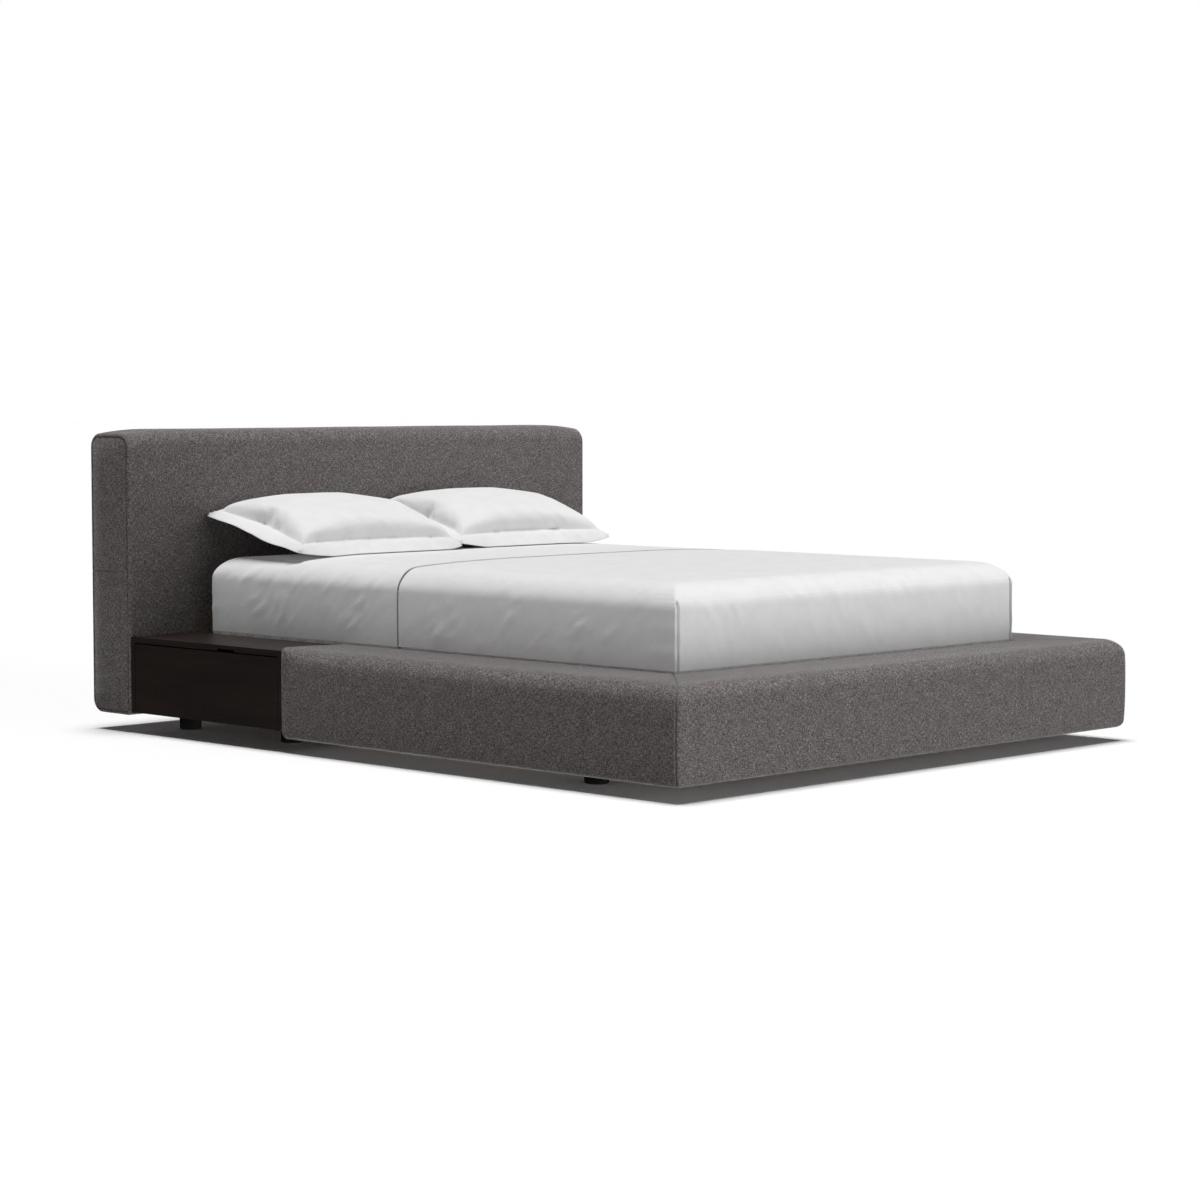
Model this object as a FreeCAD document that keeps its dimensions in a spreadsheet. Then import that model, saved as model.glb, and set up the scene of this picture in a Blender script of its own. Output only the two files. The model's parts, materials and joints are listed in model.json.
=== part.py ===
# Platform bed for a queen mattress: upholstered headboard and rails, and a drawer cabinet
# on each side at the head. +X is the sleeper's left-to-right, +Y points to the headboard, +Z up.
# The origin is on the floor, in the middle of the bed's outline. Millimetres.
import FreeCAD, Part
import math
import os
import re
import Sketcher
from FreeCAD import Placement, Rotation, Vector

SIZES = (
    # headboard
    ("headboard_width", 2038), ("headboard_front", 1085), ("headboard_back", 1283),
    ("headboard_base", 55), ("headboard_top", 958), ("headboard_round", 22),
    ("stile_width", 60), ("panel", 12), ("headboard_foam", 38), ("back_foam", 20),
    # upholstered rails
    ("rail_span", 2024), ("rail_width", 246), ("rail_base", 48), ("rail_top", 318),
    ("foot_end", -1283), ("rail_head", 340), ("rail_top_round", 45), ("rail_low_round", 20),
    ("rail_inner_round", 14), ("skin", 2), ("rail_foam", 30), ("rail_top_foam", 40),
    ("rail_inner_foam", 6), ("staple_margin", 24),
    # boards of the frames and cabinets
    ("board", 18), ("top_board", 19),
    # drawer cabinets
    ("cabinet_span", 2036), ("cabinet_base", 64), ("cabinet_top", 307), ("cabinet_inner", 552),
    ("pull_start", 566), ("pull_length", 83), ("pull_reach", 30), ("pull_rise", 7),
    # drawers
    ("front_board", 20), ("front_gap", 2), ("front_top_gap", 3), ("drawer_board", 12),
    ("drawer_low", 92), ("drawer_high", 205), ("drawer_deep", 412), ("drawer_floor", 6),
    # drawer slides
    ("slide_space", 13), ("slide_long", 400), ("slide_low", 126), ("slide_high", 171),
    ("slide_metal", 1.2), ("slide_nest", 2), ("slide_reach", 10), ("slide_setback", 22),
    # mattress support
    ("slat_top", 255), ("slat_thick", 18), ("slat_wide", 80), ("slat_reach", 764),
    ("slat_first", -1030), ("slat_last", 1075), ("cleat", 30),
    ("beam_wide", 60), ("beam_tall", 100), ("leg_round", 50), ("bracket", 4), ("bracket_leg", 80),
    ("bracket_low", 100), ("bracket_high", 200), ("hanger_plate", 3),
    # feet and bolts
    ("foot_round", 70), ("foot_bevel", 3), ("bolt_round", 10), ("bolt_head", 18),
    ("bolt_head_thick", 6), ("bolt_hole", 11), ("bolt_low", 106), ("bolt_high", 193),
    # mattress and bedding
    ("mattress_wide", 1520), ("mattress_foot", -1032), ("mattress_long", 2032),
    ("mattress_tall", 305), ("mattress_corner", 60), ("mattress_edge", 46),
    ("sheet_thick", 1.5), ("coverlet_side", 2.5), ("coverlet_top", 3.5), ("coverlet_head", 95),
    ("coverlet_low", 275), ("pillow_wide", 716), ("pillow_deep", 480), ("pillow_thick", 140),
    ("pillow_round", 65), ("pillow_corner", 90), ("pillow_tilt", 8), ("pillow_apart", 24),
    ("pillow_middle", 835), ("pillow_height", 657),
)
ALIASES = {alias for alias, number in SIZES}

SLATS = 15
SIDE_RIBS = (-1000, -821, -420, -20)   # y of each rib's middle in a side rail
FOOT_RIBS = (-720, -240, 240, 720)     # x of each rib's middle in the foot rail
CENTER_LEGS = (-880, 100, 900)         # y of each leg under the centre beam
CABINET_FEET = ((-815, 1045), (-820, 530))
RAIL_FEET = ((-851, -821),)

doc = FreeCAD.newDocument("platform_bed")
sheet = doc.addObject("Spreadsheet::Sheet", "sizes")
for row, (alias, number) in enumerate(SIZES, start=1):
    sheet.set("A%d" % row, alias)
    sheet.set("B%d" % row, str(number))
    sheet.setAlias("B%d" % row, alias)
doc.recompute()


def bound(text):
    # the words of an expression that are named sizes are read from the sheet
    return re.sub(r"[a-z_]+", lambda word: ("sizes." if word.group() in ALIASES else "") + word.group(), text)


def place(piece, corner):
    for axis, text in zip("xyz", corner):
        piece.setExpression("Placement.Base." + axis, bound(text))
    return piece


def board(label, low, high):
    # a plain board between two opposite corners
    box = doc.addObject("Part::Box", label)
    for side, start, end in zip(("Length", "Width", "Height"), low, high):
        box.setExpression(side, bound("(%s) - (%s)" % (end, start)))
    return place(box, low)


def cut(label, base, tool):
    piece = doc.addObject("Part::Cut", label)
    piece.Base = base
    piece.Tool = tool
    return piece


def group(label, pieces):
    compound = doc.addObject("Part::Compound", label)
    compound.Links = pieces
    return compound


def mirrored(label, source, normal=Vector(1, 0, 0), base="0"):
    mirror = doc.addObject("Part::Mirroring", label)
    mirror.Source = source
    mirror.Normal = normal
    mirror.setExpression("Base.y", bound(base))
    return mirror


def outline(body, role, corners):
    # a closed straight-sided sketch on one of the body's own planes; each corner is two expressions
    plane = [feature for feature in body.Origin.OriginFeatures if feature.Role == role][0]
    sketch = body.newObject("Sketcher::SketchObject", body.Label + "_outline")
    sketch.AttachmentSupport = [(plane, "")]
    sketch.MapMode = "FlatFace"
    count = len(corners)
    turn = 2 * math.pi / count
    ring = [Vector(math.cos(turn * i), math.sin(turn * i), 0) * 100 for i in range(count)]
    for i in range(count):
        sketch.addGeometry(Part.LineSegment(ring[i], ring[(i + 1) % count]), False)
    for i in range(count):
        sketch.addConstraint(Sketcher.Constraint("Coincident", i, 2, (i + 1) % count, 1))
    for i, corner in enumerate(corners):
        for kind, text in zip(("DistanceX", "DistanceY"), corner):
            number = sketch.addConstraint(Sketcher.Constraint(kind, -1, 1, i, 1, 10.0))
            sketch.setExpression("Constraints[%d]" % number, bound(text))
    return sketch


def padded(label, role, corners, length, corner=("0", "0", "0"), reverse=False):
    body = doc.addObject("PartDesign::Body", label)
    pad = body.newObject("PartDesign::Pad", label + "_pad")
    pad.Profile = outline(body, role, corners)
    pad.setExpression("Length", bound(length))
    pad.Reversed = reverse
    return place(body, corner)


def turned(label, corners):
    # a solid of revolution about its own Z axis
    body = doc.addObject("PartDesign::Body", label)
    sketch = outline(body, "XZ_Plane", corners)
    spin = body.newObject("PartDesign::Revolution", label + "_turn")
    spin.Profile = sketch
    spin.ReferenceAxis = (sketch, ["V_Axis"])
    spin.Angle = 360
    return body


def rounded(body, radius, chosen):
    # rounds the edges of the body's tip whose box passes the test
    doc.recompute()
    tip = body.Tip
    edges = ["Edge%d" % number for number, edge in enumerate(tip.Shape.Edges, start=1) if chosen(edge.BoundBox)]
    fillet = body.newObject("PartDesign::Fillet", body.Label + "_round")
    fillet.Base = (tip, edges)
    fillet.setExpression("Radius", bound(radius))
    return body


def corners_of(low_x, high_x, low_y, high_y):
    return ((low_x, low_y), (high_x, low_y), (high_x, high_y), (low_x, high_y))


def is_upright(box):
    return box.ZLength > 1 and box.XLength < 0.01 and box.YLength < 0.01


def is_level(box):
    return box.ZLength < 0.01


def copy(label, source, corner, turn=None):
    link = doc.addObject("App::Link", label)
    link.LinkedObject = source
    if turn:
        link.Placement = Placement(Vector(), turn)
    return place(link, corner)


# ---- upholstered rails: a U-shaped board frame, foam over it and a fabric skin ----

MITRE = "(foot_end + rail_span / 2)"   # on the left mitre line, y = x + MITRE


def side_form(label, out, inner, head, low, high):
    # left rail: out and inner are distances from the rail's outer and mattress faces
    outer_x = "(-rail_span / 2 + %s)" % out
    inner_x = "(-rail_span / 2 + rail_width - (%s))" % inner
    plan = ((outer_x, head), (inner_x, head), (inner_x, inner_x + " + " + MITRE), (outer_x, outer_x + " + " + MITRE))
    return padded(label, "XY_Plane", plan, "%s - (%s)" % (high, low), ("0", "0", low))


def foot_form(label, out, inner, head, low, high):
    outer_y = "(foot_end + %s)" % out
    inner_y = "(foot_end + rail_width - (%s))" % inner
    outer_x = "(%s - %s)" % (outer_y, MITRE)
    inner_x = "(%s - %s)" % (inner_y, MITRE)
    plan = ((outer_x, outer_y), ("-" + outer_x, outer_y), ("-" + inner_x, inner_y), (inner_x, inner_y))
    return padded(label, "XY_Plane", plan, "%s - (%s)" % (high, low), ("0", "0", low))


def soften(form, across, shrink):
    # rounds the long edges of a rail's outer form; across is the axis from face to face
    doc.recompute()
    whole = form.Tip.Shape.BoundBox
    middle = getattr(whole.Center, across)

    def long_edge(box, outer, level):
        runs_along = max(box.XLength, box.YLength) > 1000 and min(box.XLength, box.YLength) < 0.01
        on_side = (getattr(box.Center, across) < middle) == outer
        return runs_along and is_level(box) and on_side and abs(box.ZMin - level) < 0.01

    rounded(form, "rail_top_round - " + shrink, lambda box: long_edge(box, True, whole.ZMax))
    rounded(form, "rail_inner_round - " + shrink, lambda box: long_edge(box, False, whole.ZMax))
    rounded(form, "rail_low_round - " + shrink, lambda box: long_edge(box, True, whole.ZMin))
    return form


def upholstered_rail(name, form, across):
    outside = soften(form(name + "_outside", "0", "0", "rail_head", "rail_base", "rail_top"), across, "0")
    inside = soften(form(name + "_inside", "skin", "skin", "rail_head - skin", "rail_base + skin",
                         "rail_top - skin"), across, "skin")
    core = form(name + "_core", "(skin + rail_foam)", "skin + rail_inner_foam", "rail_head - skin",
                "rail_base + skin", "rail_top - skin - rail_top_foam")
    hollow = form(name + "_hollow", "(skin + rail_foam + board)", "skin + rail_inner_foam + board",
                  "rail_head - skin", "rail_base + skin", "rail_top - skin - rail_top_foam - board")
    opening = form(name + "_opening", "staple_margin", "staple_margin",
                   "rail_head - staple_margin", "rail_base - 1", "rail_base + skin")
    cover = cut(name + "_shell", cut(name + "_tube", outside, inside), opening)
    foam = cut(name + "_foam", inside, core)
    frame = cut(name + "_frame", core, hollow)
    return cover, foam, frame


left_rail_shell, left_rail_foam, left_rail_frame = upholstered_rail("left_rail", side_form, "x")
foot_rail_cover, foot_rail_foam, foot_rail_frame = upholstered_rail("foot_rail", foot_form, "y")
foot_rail_cover.Label = "foot_rail_cover"

HOLLOW_TOP = "rail_top - skin - rail_top_foam - board"
HOLLOW_OUT = "skin + rail_foam + board"
HOLLOW_IN = "rail_width - skin - rail_inner_foam - board"


def side_rib(label, middle):
    return board(label, ("-rail_span / 2 + " + HOLLOW_OUT, "%s - board / 2" % middle, "rail_base + skin"),
                 ("-rail_span / 2 + " + HOLLOW_IN, "%s + board / 2" % middle, HOLLOW_TOP))


end_rib = side_rib("end_rib", "(rail_head - skin - board / 2)")
side_ribs = [side_rib("side_rib_%d" % number, str(middle)) for number, middle in enumerate(SIDE_RIBS)]
foot_ribs = [board("foot_rib_%d" % number,
                   ("%d - board / 2" % middle, "foot_end + " + HOLLOW_OUT, "rail_base + skin"),
                   ("%d + board / 2" % middle, "foot_end + " + HOLLOW_IN, HOLLOW_TOP))
             for number, middle in enumerate(FOOT_RIBS)]

# ---- headboard: two stiles and two cross rails between panels, foam and a fabric skin ----


def headboard_form(label, inset, radius, low):
    half = "(headboard_width / 2 - %s)" % inset
    body = padded(label, "XY_Plane",
                  corners_of("-" + half, half, "headboard_front + " + inset, "headboard_back - " + inset),
                  "headboard_top - %s - (%s)" % (inset, low), ("0", "0", low))
    return rounded(body, radius, lambda box: True)


headboard_outside = headboard_form("headboard_outside", "0", "headboard_round", "headboard_base")
headboard_inside = headboard_form("headboard_inside", "skin", "headboard_round - skin", "headboard_base + skin")

CORE_HALF = "(headboard_width / 2 - skin - headboard_foam)"
CORE_FRONT = "headboard_front + skin + headboard_foam"
CORE_BACK = "headboard_back - skin - back_foam"
CORE_LOW = "headboard_base + skin"
CORE_TOP = "headboard_top - skin - headboard_foam"
STILE_FRONT = CORE_FRONT + " + panel"
STILE_BACK = CORE_BACK + " - panel"

headboard_core = board("headboard_core", ("-" + CORE_HALF, CORE_FRONT, CORE_LOW), (CORE_HALF, CORE_BACK, CORE_TOP))
headboard_mouth = board("headboard_mouth",
                        ("-headboard_width / 2 + staple_margin", "headboard_front + staple_margin",
                         "headboard_base - 1"),
                        ("headboard_width / 2 - staple_margin", "headboard_back - staple_margin",
                         "headboard_base + skin"))
headboard_shell = cut("headboard_shell", cut("headboard_tube", headboard_outside, headboard_inside), headboard_mouth)
headboard_pad = cut("headboard_pad", headboard_inside, headboard_core)
front_panel_whole = board("front_panel_whole", ("-" + CORE_HALF, CORE_FRONT, CORE_LOW),
                          (CORE_HALF, STILE_FRONT, CORE_TOP))
headboard_back_panel = board("headboard_back_panel", ("-" + CORE_HALF, STILE_BACK, CORE_LOW),
                             (CORE_HALF, CORE_BACK, CORE_TOP))
left_stile = board("left_stile", ("-" + CORE_HALF, STILE_FRONT, CORE_LOW),
                   ("-%s + stile_width" % CORE_HALF, STILE_BACK, CORE_TOP))
stiles_whole = group("stiles_whole", [left_stile, mirrored("right_stile", left_stile)])
INNER_HALF = "(%s - stile_width)" % CORE_HALF
cross_rails = [board(name, ("-" + INNER_HALF, STILE_FRONT, low), (INNER_HALF, STILE_BACK, low + " + stile_width"))
               for name, low in (("low_cross_rail", CORE_LOW), ("high_cross_rail", CORE_TOP + " - stile_width"))]
headboard_cross_rails = group("headboard_cross_rails", cross_rails)

# ---- bolts: rail to cabinet and cabinet to headboard, with clearance holes ----

bolt = turned("bolt", (("0", "-bolt_head_thick"), ("bolt_head / 2", "-bolt_head_thick"), ("bolt_head / 2", "0"),
                       ("bolt_round / 2", "0"), ("bolt_round / 2", "board * 2 + skin"), ("0", "board * 2 + skin")))
long_bolt = turned("long_bolt", (("0", "-bolt_head_thick"), ("bolt_head / 2", "-bolt_head_thick"),
                                 ("bolt_head / 2", "0"), ("bolt_round / 2", "0"),
                                 ("bolt_round / 2", "board * 2 + skin + headboard_foam + panel"),
                                 ("0", "board * 2 + skin + headboard_foam + panel")))
RAIL_BOLT = ("-rail_span / 2 + (%s + %s) / 2" % (HOLLOW_OUT, HOLLOW_IN), "rail_head + board")
HEAD_BOLT = ("-%s + stile_width / 2" % CORE_HALF, "headboard_front - board")
to_foot = Rotation(Vector(1, 0, 0), 90)
to_head = Rotation(Vector(1, 0, 0), -90)
bolts = []
holes = []
for level in ("bolt_low", "bolt_high"):
    bolts.append(copy("rail_" + level, bolt, RAIL_BOLT + (level,), to_foot))
    bolts.append(copy("head_" + level, long_bolt, HEAD_BOLT + (level,), to_head))
    for name, (x, y), turn, reach in (("rail", RAIL_BOLT, to_foot, "board * 2 + skin"),
                                      ("head", HEAD_BOLT, to_head,
                                       "board * 2 + skin + headboard_foam + panel")):
        hole = doc.addObject("Part::Cylinder", "%s_hole_%s" % (name, level))
        hole.setExpression("Radius", bound("bolt_hole / 2"))
        hole.setExpression("Height", bound(reach))
        hole.Placement = Placement(Vector(), turn)
        holes.append(place(hole, (x, y, level)))
left_holes = group("left_holes", holes)
right_holes = mirrored("right_holes", left_holes)
all_holes = group("all_holes", [left_holes, right_holes])
left_bolts = group("left_bolts", bolts)
connecting_bolts = group("connecting_bolts", [left_bolts, mirrored("right_bolts", left_bolts)])

left_rail_cover = cut("left_rail_cover", left_rail_shell, left_holes)
left_ribs = group("left_ribs", [cut("end_rib_drilled", end_rib, left_holes)] + side_ribs)
rail_ribs = group("rail_ribs", [left_ribs, mirrored("right_ribs", left_ribs)] + foot_ribs)
headboard_cover = cut("headboard_cover", headboard_shell, all_holes)
headboard_foam = cut("headboard_foam", headboard_pad, all_holes)
headboard_front_panel = cut("headboard_front_panel", front_panel_whole, all_holes)
headboard_stiles = cut("headboard_stiles", stiles_whole, all_holes)

# ---- left drawer cabinet: high beside the mattress, low under the slats ----

OUT = "-cabinet_span / 2"
STEP = "(-rail_span / 2 + rail_width)"
DECK_TOP = "(slat_top - slat_thick)"
CABINET_ROOF = "(cabinet_top - top_board)"

side_outline = ((OUT, "0"), ("-cabinet_inner", "0"), ("-cabinet_inner", DECK_TOP + " - board - cabinet_base"),
                (STEP + " - board", DECK_TOP + " - board - cabinet_base"),
                (STEP + " - board", CABINET_ROOF + " - cabinet_base"), (OUT, CABINET_ROOF + " - cabinet_base"))
foot_side_whole = padded("foot_side_whole", "XZ_Plane", side_outline, "board",
                         ("0", "rail_head", "cabinet_base"), reverse=True)
head_side_whole = padded("head_side_whole", "XZ_Plane", side_outline, "board",
                         ("0", "headboard_front - board", "cabinet_base"), reverse=True)
left_cabinet_foot_side = cut("left_cabinet_foot_side", foot_side_whole, left_holes)
left_cabinet_head_side = cut("left_cabinet_head_side", head_side_whole, left_holes)

left_cabinet_top = padded("left_cabinet_top", "XY_Plane",
                          corners_of(OUT, STEP, "rail_head", "headboard_front"), "top_board",
                          ("0", "0", CABINET_ROOF))
pull = left_cabinet_top.newObject("PartDesign::Pocket", "left_pull")
pull.Profile = outline(left_cabinet_top, "XY_Plane",
                       corners_of(OUT + " - 1", OUT + " + pull_reach", "pull_start", "pull_start + pull_length"))
pull.setExpression("Length", bound("pull_rise"))
pull.Reversed = True

left_cabinet_deck = board("left_cabinet_deck", (STEP + " - board", "rail_head", DECK_TOP + " - board"),
                          ("-cabinet_inner", "headboard_front", DECK_TOP))
left_cabinet_riser = board("left_cabinet_riser", (STEP + " - board", "rail_head", DECK_TOP),
                           (STEP, "headboard_front", CABINET_ROOF))
left_cabinet_bottom = board("left_cabinet_bottom",
                            (OUT + " + front_board + front_gap", "rail_head + board", "cabinet_base"),
                            ("-cabinet_inner", "headboard_front - board", "cabinet_base + board"))
left_cabinet_inner_side = board("left_cabinet_inner_side",
                                ("-cabinet_inner - board", "rail_head + board", "cabinet_base + board"),
                                ("-cabinet_inner", "headboard_front - board", DECK_TOP + " - board"))

# ---- left drawer ----

FOOT_WALL = "(rail_head + board)"
HEAD_WALL = "(headboard_front - board)"
BOX_OUT = "(-cabinet_span / 2 + front_board)"
BOX_IN = "(-cabinet_span / 2 + front_board + drawer_deep)"
BOX_FOOT = "(rail_head + board + slide_space)"
BOX_HEAD = "(headboard_front - board - slide_space)"

left_drawer_front = board("left_drawer_front", (OUT, FOOT_WALL + " + front_gap", "cabinet_base + front_gap"),
                          (BOX_OUT, HEAD_WALL + " - front_gap", CABINET_ROOF + " - front_top_gap"))
left_drawer_foot_side = board("left_drawer_foot_side", (BOX_OUT, BOX_FOOT, "drawer_low"),
                              (BOX_IN, BOX_FOOT + " + drawer_board", "drawer_high"))
left_drawer_head_side = board("left_drawer_head_side", (BOX_OUT, BOX_HEAD + " - drawer_board", "drawer_low"),
                              (BOX_IN, BOX_HEAD, "drawer_high"))
left_drawer_back = board("left_drawer_back",
                         (BOX_IN + " - drawer_board", BOX_FOOT + " + drawer_board", "drawer_low"),
                         (BOX_IN, BOX_HEAD + " - drawer_board", "drawer_high"))
left_drawer_bottom = board("left_drawer_bottom", (BOX_OUT, BOX_FOOT + " + drawer_board", "drawer_low + drawer_floor"),
                           (BOX_IN + " - drawer_board", BOX_HEAD + " - drawer_board",
                            "drawer_low + drawer_floor * 2"))

# ---- drawer slides: three nested channels on each side of the drawer ----

SLIDE_OUT = "(-cabinet_span / 2 + slide_setback)"


def channel(label, web, lips, low, high):
    # web is the y of the channel's back face and lips the y of its open edges
    inward = "+" if label.endswith(("cabinet", "middle")) else "-"
    inner_web = "%s %s slide_metal" % (web, inward)
    profile = ((web, low), (lips, low), (lips, low + " + slide_metal"), (inner_web, low + " + slide_metal"),
               (inner_web, high + " - slide_metal"), (lips, high + " - slide_metal"), (lips, high), (web, high))
    foot = padded(label, "YZ_Plane", profile, "slide_long", (SLIDE_OUT, "0", "0"))
    return [foot, mirrored(label + "_head", foot, Vector(0, 1, 0), "(rail_head + headboard_front) / 2")]


left_slide_cabinet_members = group("left_slide_cabinet_members", channel(
    "slide_cabinet", FOOT_WALL, FOOT_WALL + " + slide_reach", "slide_low", "slide_high"))
left_slide_middle_members = group("left_slide_middle_members", channel(
    "slide_middle", FOOT_WALL + " + slide_nest + 0.5", FOOT_WALL + " + slide_reach + 0.5",
    "slide_low + slide_nest", "slide_high - slide_nest"))
left_slide_drawer_members = group("left_slide_drawer_members", channel(
    "slide_drawer", BOX_FOOT, FOOT_WALL + " + slide_nest * 2 + 1",
    "slide_low + slide_nest * 2", "slide_high - slide_nest * 2"))

# ---- mattress support ----

left_cleat = board("left_cleat", (STEP, "foot_end + rail_width + bracket", DECK_TOP + " - cleat"),
                   (STEP + " + cleat", "rail_head", DECK_TOP))
side_cleats = group("side_cleats", [left_cleat, mirrored("right_cleat", left_cleat)])

center_beam = board("center_beam",
                    ("-beam_wide / 2", "foot_end + rail_width + hanger_plate", DECK_TOP + " - beam_tall"),
                    ("beam_wide / 2", "headboard_front - hanger_plate", DECK_TOP))
BEAM_LOW = DECK_TOP + " - beam_tall"


def hanger(label, wall, step):
    # an angle under the beam's end: a plate on the wall and a shelf; step is + or - along Y
    profile = ((wall, BEAM_LOW + " - 30"), ("%s %s hanger_plate" % (wall, step), BEAM_LOW + " - 30"),
               ("%s %s hanger_plate" % (wall, step), BEAM_LOW + " - hanger_plate"),
               ("%s %s beam_wide" % (wall, step), BEAM_LOW + " - hanger_plate"),
               ("%s %s beam_wide" % (wall, step), BEAM_LOW), ("%s %s hanger_plate" % (wall, step), BEAM_LOW),
               ("%s %s hanger_plate" % (wall, step), DECK_TOP), (wall, DECK_TOP))
    return padded(label, "YZ_Plane", profile, "beam_wide", ("-beam_wide / 2", "0", "0"))


beam_hangers = group("beam_hangers", [hanger("foot_hanger", "(foot_end + rail_width)", "+"),
                                      hanger("head_hanger", "headboard_front", "-")])

CORNER_Y = "(foot_end + rail_width)"
left_bracket = padded("left_bracket", "XY_Plane",
                      ((STEP, CORNER_Y), (STEP + " + bracket_leg", CORNER_Y),
                       (STEP + " + bracket_leg", CORNER_Y + " + bracket"),
                       (STEP + " + bracket", CORNER_Y + " + bracket"),
                       (STEP + " + bracket", CORNER_Y + " + bracket_leg"), (STEP, CORNER_Y + " + bracket_leg")),
                      "bracket_high - bracket_low", ("0", "0", "bracket_low"))
corner_brackets = group("corner_brackets", [left_bracket, mirrored("right_bracket", left_bracket)])

slat_boards = []
for number in range(SLATS):
    start = "(slat_first + (slat_last - slat_wide - slat_first) * %d / %d)" % (number, SLATS - 1)
    slat_boards.append(board("slat_%d" % number, ("-slat_reach", start, DECK_TOP),
                             ("slat_reach", start + " + slat_wide", "slat_top")))
slats = group("slats", slat_boards)

# ---- feet and centre legs ----


def round_foot(label, radius, tall):
    return turned(label, (("0", "0"), (radius + " - foot_bevel", "0"), (radius, "foot_bevel"), (radius, tall),
                          ("0", tall)))


rail_foot = round_foot("rail_foot", "foot_round / 2", "rail_base + skin")
cabinet_foot = round_foot("cabinet_foot", "foot_round / 2", "cabinet_base")
center_leg = round_foot("center_leg", "leg_round / 2", BEAM_LOW)


def standing(label, source, spots):
    left = [copy("%s_left_%d" % (label, i), source, (str(x), str(y), "0")) for i, (x, y) in enumerate(spots)]
    right = [copy("%s_right_%d" % (label, i), source, (str(-x), str(y), "0")) for i, (x, y) in enumerate(spots)]
    return group(label, left + right)


rail_feet = standing("rail_feet", rail_foot, RAIL_FEET)
cabinet_feet = standing("cabinet_feet", cabinet_foot, CABINET_FEET)
center_legs = group("center_legs", [copy("leg_%d" % i, center_leg, ("0", str(y), "0"))
                                    for i, y in enumerate(CENTER_LEGS)])

# ---- mattress and bedding ----


def bedding_form(label, grow, top_grow, foot_grow, head, low):
    half = "(mattress_wide / 2 + %s)" % grow
    body = padded(label, "XY_Plane", corners_of("-" + half, half, "mattress_foot - (%s)" % foot_grow, head),
                  "slat_top + mattress_tall + %s - %s" % (top_grow, low), ("0", "0", low))
    return body


def round_bedding(body, grow, foot_only):
    doc.recompute()
    whole = body.Tip.Shape.BoundBox

    def kept(box):
        return not (foot_only and abs(box.YMax - whole.YMax) < 0.01 and box.YLength < 0.01)

    rounded(body, "mattress_corner + " + grow, lambda box: is_upright(box) and kept(box))
    return rounded(body, "mattress_edge + " + grow,
                   lambda box: is_level(box) and abs(box.ZMax - whole.ZMax) < 0.01 and kept(box))


MATTRESS_HEAD = "mattress_foot + mattress_long"
COVER_GROW = "(sheet_thick + coverlet_side)"
mattress = round_bedding(bedding_form("mattress", "0", "0", "0", MATTRESS_HEAD, "slat_top"), "0", False)
sheet_outside = round_bedding(bedding_form("sheet_outside", "sheet_thick", "sheet_thick", "sheet_thick",
                                           MATTRESS_HEAD + " + sheet_thick", "slat_top"), "sheet_thick", False)
fitted_sheet = cut("fitted_sheet", sheet_outside, mattress)
coverlet_outside = round_bedding(bedding_form("coverlet_outside", COVER_GROW, "(sheet_thick + coverlet_top)",
                                              COVER_GROW, "coverlet_head", "coverlet_low"), COVER_GROW, True)
coverlet = cut("coverlet", coverlet_outside, sheet_outside)

pillow_left = padded("pillow_left", "XY_Plane",
                     corners_of("-pillow_wide / 2", "pillow_wide / 2", "-pillow_deep / 2", "pillow_deep / 2"),
                     "pillow_thick")
rounded(pillow_left, "pillow_corner", is_upright)
rounded(pillow_left, "pillow_round", is_level)
pillow_left.Placement = Placement(Vector(), Rotation(Vector(1, 0, 0), 1))
pillow_left.setExpression("Placement.Rotation.Angle", bound("pillow_tilt"))
place(pillow_left, ("-(pillow_wide + pillow_apart) / 2", "pillow_middle + pillow_thick / 2 * sin(pillow_tilt)",
                    "pillow_height - pillow_thick / 2 * cos(pillow_tilt)"))
pillow_right = mirrored("pillow_right", pillow_left)

# ---- the right side mirrors the left ----

left_pieces = (left_rail_frame, left_rail_foam, left_rail_cover,
               left_cabinet_top, left_cabinet_deck, left_cabinet_riser, left_cabinet_bottom,
               left_cabinet_head_side, left_cabinet_foot_side, left_cabinet_inner_side,
               left_drawer_front, left_drawer_head_side, left_drawer_foot_side, left_drawer_back,
               left_drawer_bottom,
               left_slide_cabinet_members, left_slide_middle_members, left_slide_drawer_members)
right_pieces = tuple(mirrored(piece.Label.replace("left_", "right_"), piece) for piece in left_pieces)
shared_pieces = (headboard_stiles, headboard_cross_rails, headboard_front_panel, headboard_back_panel,
                 headboard_foam, headboard_cover,
                 foot_rail_frame, foot_rail_foam, foot_rail_cover, rail_ribs,
                 side_cleats, center_beam, beam_hangers, center_legs, slats, corner_brackets,
                 connecting_bolts, rail_feet, cabinet_feet,
                 mattress, fitted_sheet, coverlet, pillow_left, pillow_right)
pieces = left_pieces + right_pieces + shared_pieces

doc.recompute()

for thing in doc.Objects:
    if {"Invalid", "Error"} & set(thing.State):
        raise RuntimeError("%s failed: %s" % (thing.Label, thing.State))
for piece in pieces:
    if piece.Shape.isNull() or not piece.Shape.isValid() or not piece.Shape.Solids:
        raise RuntimeError("%s has no valid shape" % piece.Label)

os.makedirs("parts", exist_ok=True)
for piece in pieces:
    piece.Shape.exportStep("parts/%s.step" % piece.Label)
    box = piece.Shape.BoundBox
    print("%-28s %2d solids  x %.1f..%.1f  y %.1f..%.1f  z %.1f..%.1f" % (
        piece.Label, len(piece.Shape.Solids), box.XMin, box.XMax, box.YMin, box.YMax, box.ZMin, box.ZMax))
print(len(pieces), "pieces")
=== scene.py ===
import json
import math

import bmesh
import bpy
from mathutils import Matrix, Vector, noise

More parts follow.
